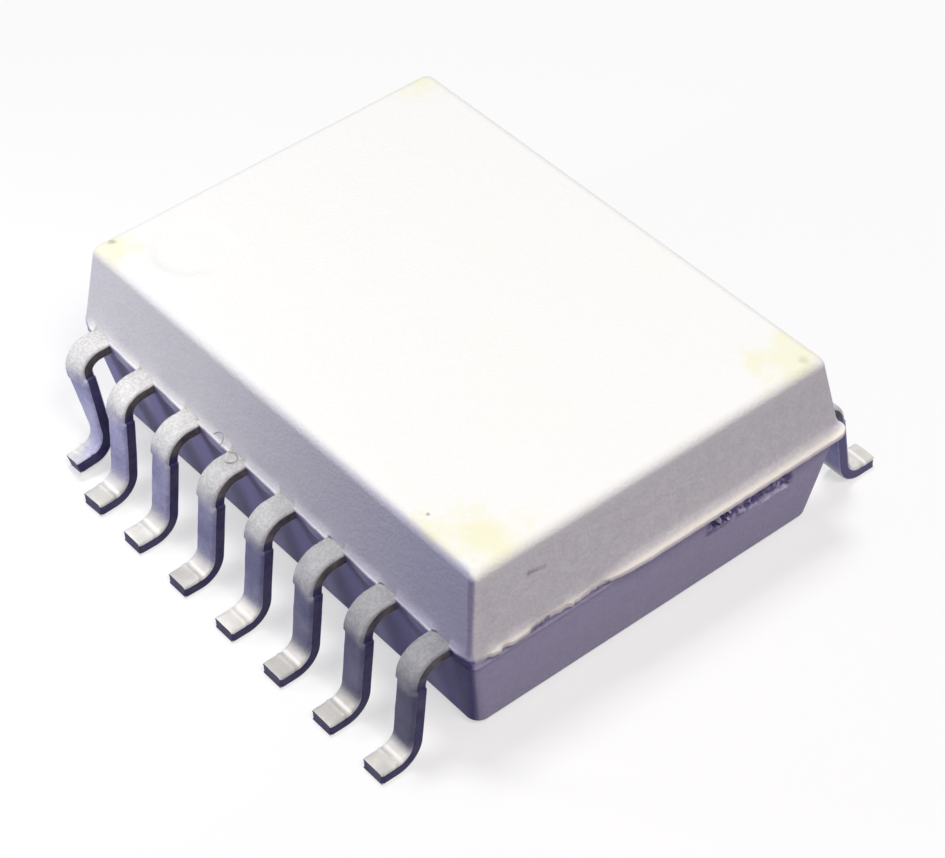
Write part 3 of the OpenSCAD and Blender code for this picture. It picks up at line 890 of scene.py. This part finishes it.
def die_material(name, ground, track, size):
    """A die face: a grid of metal tracks over a polished ground."""
    material = bpy.data.materials.new(name)
    tree = shader_tree(material)
    dim_ground = tuple(0.8 * c for c in ground[:3]) + (1,)
    here = put(tree, "ShaderNodeTexCoord").outputs["Object"]
    tracks = put(tree, "ShaderNodeTexBrick", Vector=here, Scale=size, Color1=ground,
                 Color2=dim_ground, Mortar=track, Mortar_Size=0.03)
    texture = grained(tree, 30000.0)
    surface = put(tree, "ShaderNodeBsdfPrincipled", Base_Color=tracks.outputs["Color"], Roughness=0.2,
                  Normal=relief(tree, 0.3, 0.004, texture["Height"]))
    put(tree, "ShaderNodeOutputMaterial", Surface=surface.outputs[0])
    return material


inner_materials = {
    "attach": hidden_material("silver_glue", glue_grey, glue_silver, size=24000.0, depth=0.01,
                              Metallic=0.7, Roughness=0.45),
    "wire": hidden_material("gold_wire", gold_deep, gold_bright, size=40000.0, depth=0.002,
                            Metallic=1.0, Roughness=0.25),
    "light_dome": hidden_material("clear_silicone", silicone_cool, silicone_warm, size=3000.0,
                                  depth=0.004, Roughness=0.08, Transmission_Weight=0.9, IOR=1.41),
    "emitter_die": die_material("lamp_die", lamp_red, lamp_track, size=5000.0),
    "detector_die": die_material("detector_die", detector_blue, detector_track, size=3600.0),
}
for node_name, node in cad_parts.items():
    for part, material in inner_materials.items():
        if part in node_name:
            node.data.materials.clear()
            node.data.materials.append(material)


# ---- Stray fibres -----------------------------------------------------------------------
# Two hairs of packing dust cling to the resin web and the shoulder of lead 4.
# They are dirt that settled on the chip, thin and grey.
fibre_r, fibre_sides, knot_steps = 0.007, 6, 8


def fibre_grey_material():
    """Grey thread with lighter and darker strands."""
    dark_strand, light_strand = (0.16, 0.16, 0.15, 1), (0.42, 0.42, 0.40, 1)
    material = bpy.data.materials.new("fibre_grey")
    tree = shader_tree(material)
    colour = blend(tree, grained(tree, 20000.0)["Lumps"], dark_strand, light_strand)
    hair = put(tree, "ShaderNodeBsdfPrincipled", Base_Color=colour, Roughness=0.5)
    put(tree, "ShaderNodeOutputMaterial", Surface=hair.outputs[0])
    return material


fibre_grey = fibre_grey_material()


def smooth_path(knots):
    """Places along a smooth line through the knots."""
    knots = np.array(knots, float)
    last = len(knots) - 1
    path = []
    for i in range(last):
        before, here, there, after = (knots[min(max(i + d, 0), last)] for d in (-1, 0, 1, 2))
        slope = there - before
        curve = 2 * before - 5 * here + 4 * there - after
        change = 3 * here - before - 3 * there + after
        for n in range(knot_steps):
            t = n / knot_steps
            path.append(0.5 * (2 * here + slope * t + curve * t ** 2 + change * t ** 3))
    path.append(knots[-1])
    return path


def fibre(name, knots):
    """A thin round thread along a smooth line through the knots."""
    path = smooth_path(knots)
    points, faces = [], []
    for i, place in enumerate(path):
        along = path[min(i + 1, len(path) - 1)] - path[max(i - 1, 0)]
        along /= np.linalg.norm(along)
        first = np.cross(along, (0.3, 0.2, 0.9))
        first /= np.linalg.norm(first)
        second = np.cross(along, first)
        for m in range(fibre_sides):
            a = 2 * math.pi * m / fibre_sides
            points.append(place + fibre_r * (first * math.cos(a) + second * math.sin(a)))
    for low in range(0, len(points) - fibre_sides, fibre_sides):
        for m in range(fibre_sides):
            n = (m + 1) % fibre_sides
            faces.append((low + m, low + n, low + fibre_sides + n, low + fibre_sides + m))
    faces += [tuple(reversed(range(fibre_sides))), tuple(range(len(points) - fibre_sides, len(points)))]
    thread = add_object(name, smooth_mesh(name, points, faces))
    thread.data.materials.append(fibre_grey)
    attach(thread, "root")


fibre("dust_fibre_a", ((-1.33, -3.70, 2.05), (-1.20, -3.68, 2.17), (-1.06, -3.69, 2.20),
                       (-1.03, -3.74, 2.10), (-1.08, -3.76, 2.03)))
fibre("dust_fibre_b", ((-0.86, -3.76, 2.03), (-0.74, -3.70, 2.06), (-0.64, -3.73, 2.05),
                       (-0.60, -3.81, 2.035), (-0.66, -3.90, 2.03), (-0.72, -3.92, 2.03)))
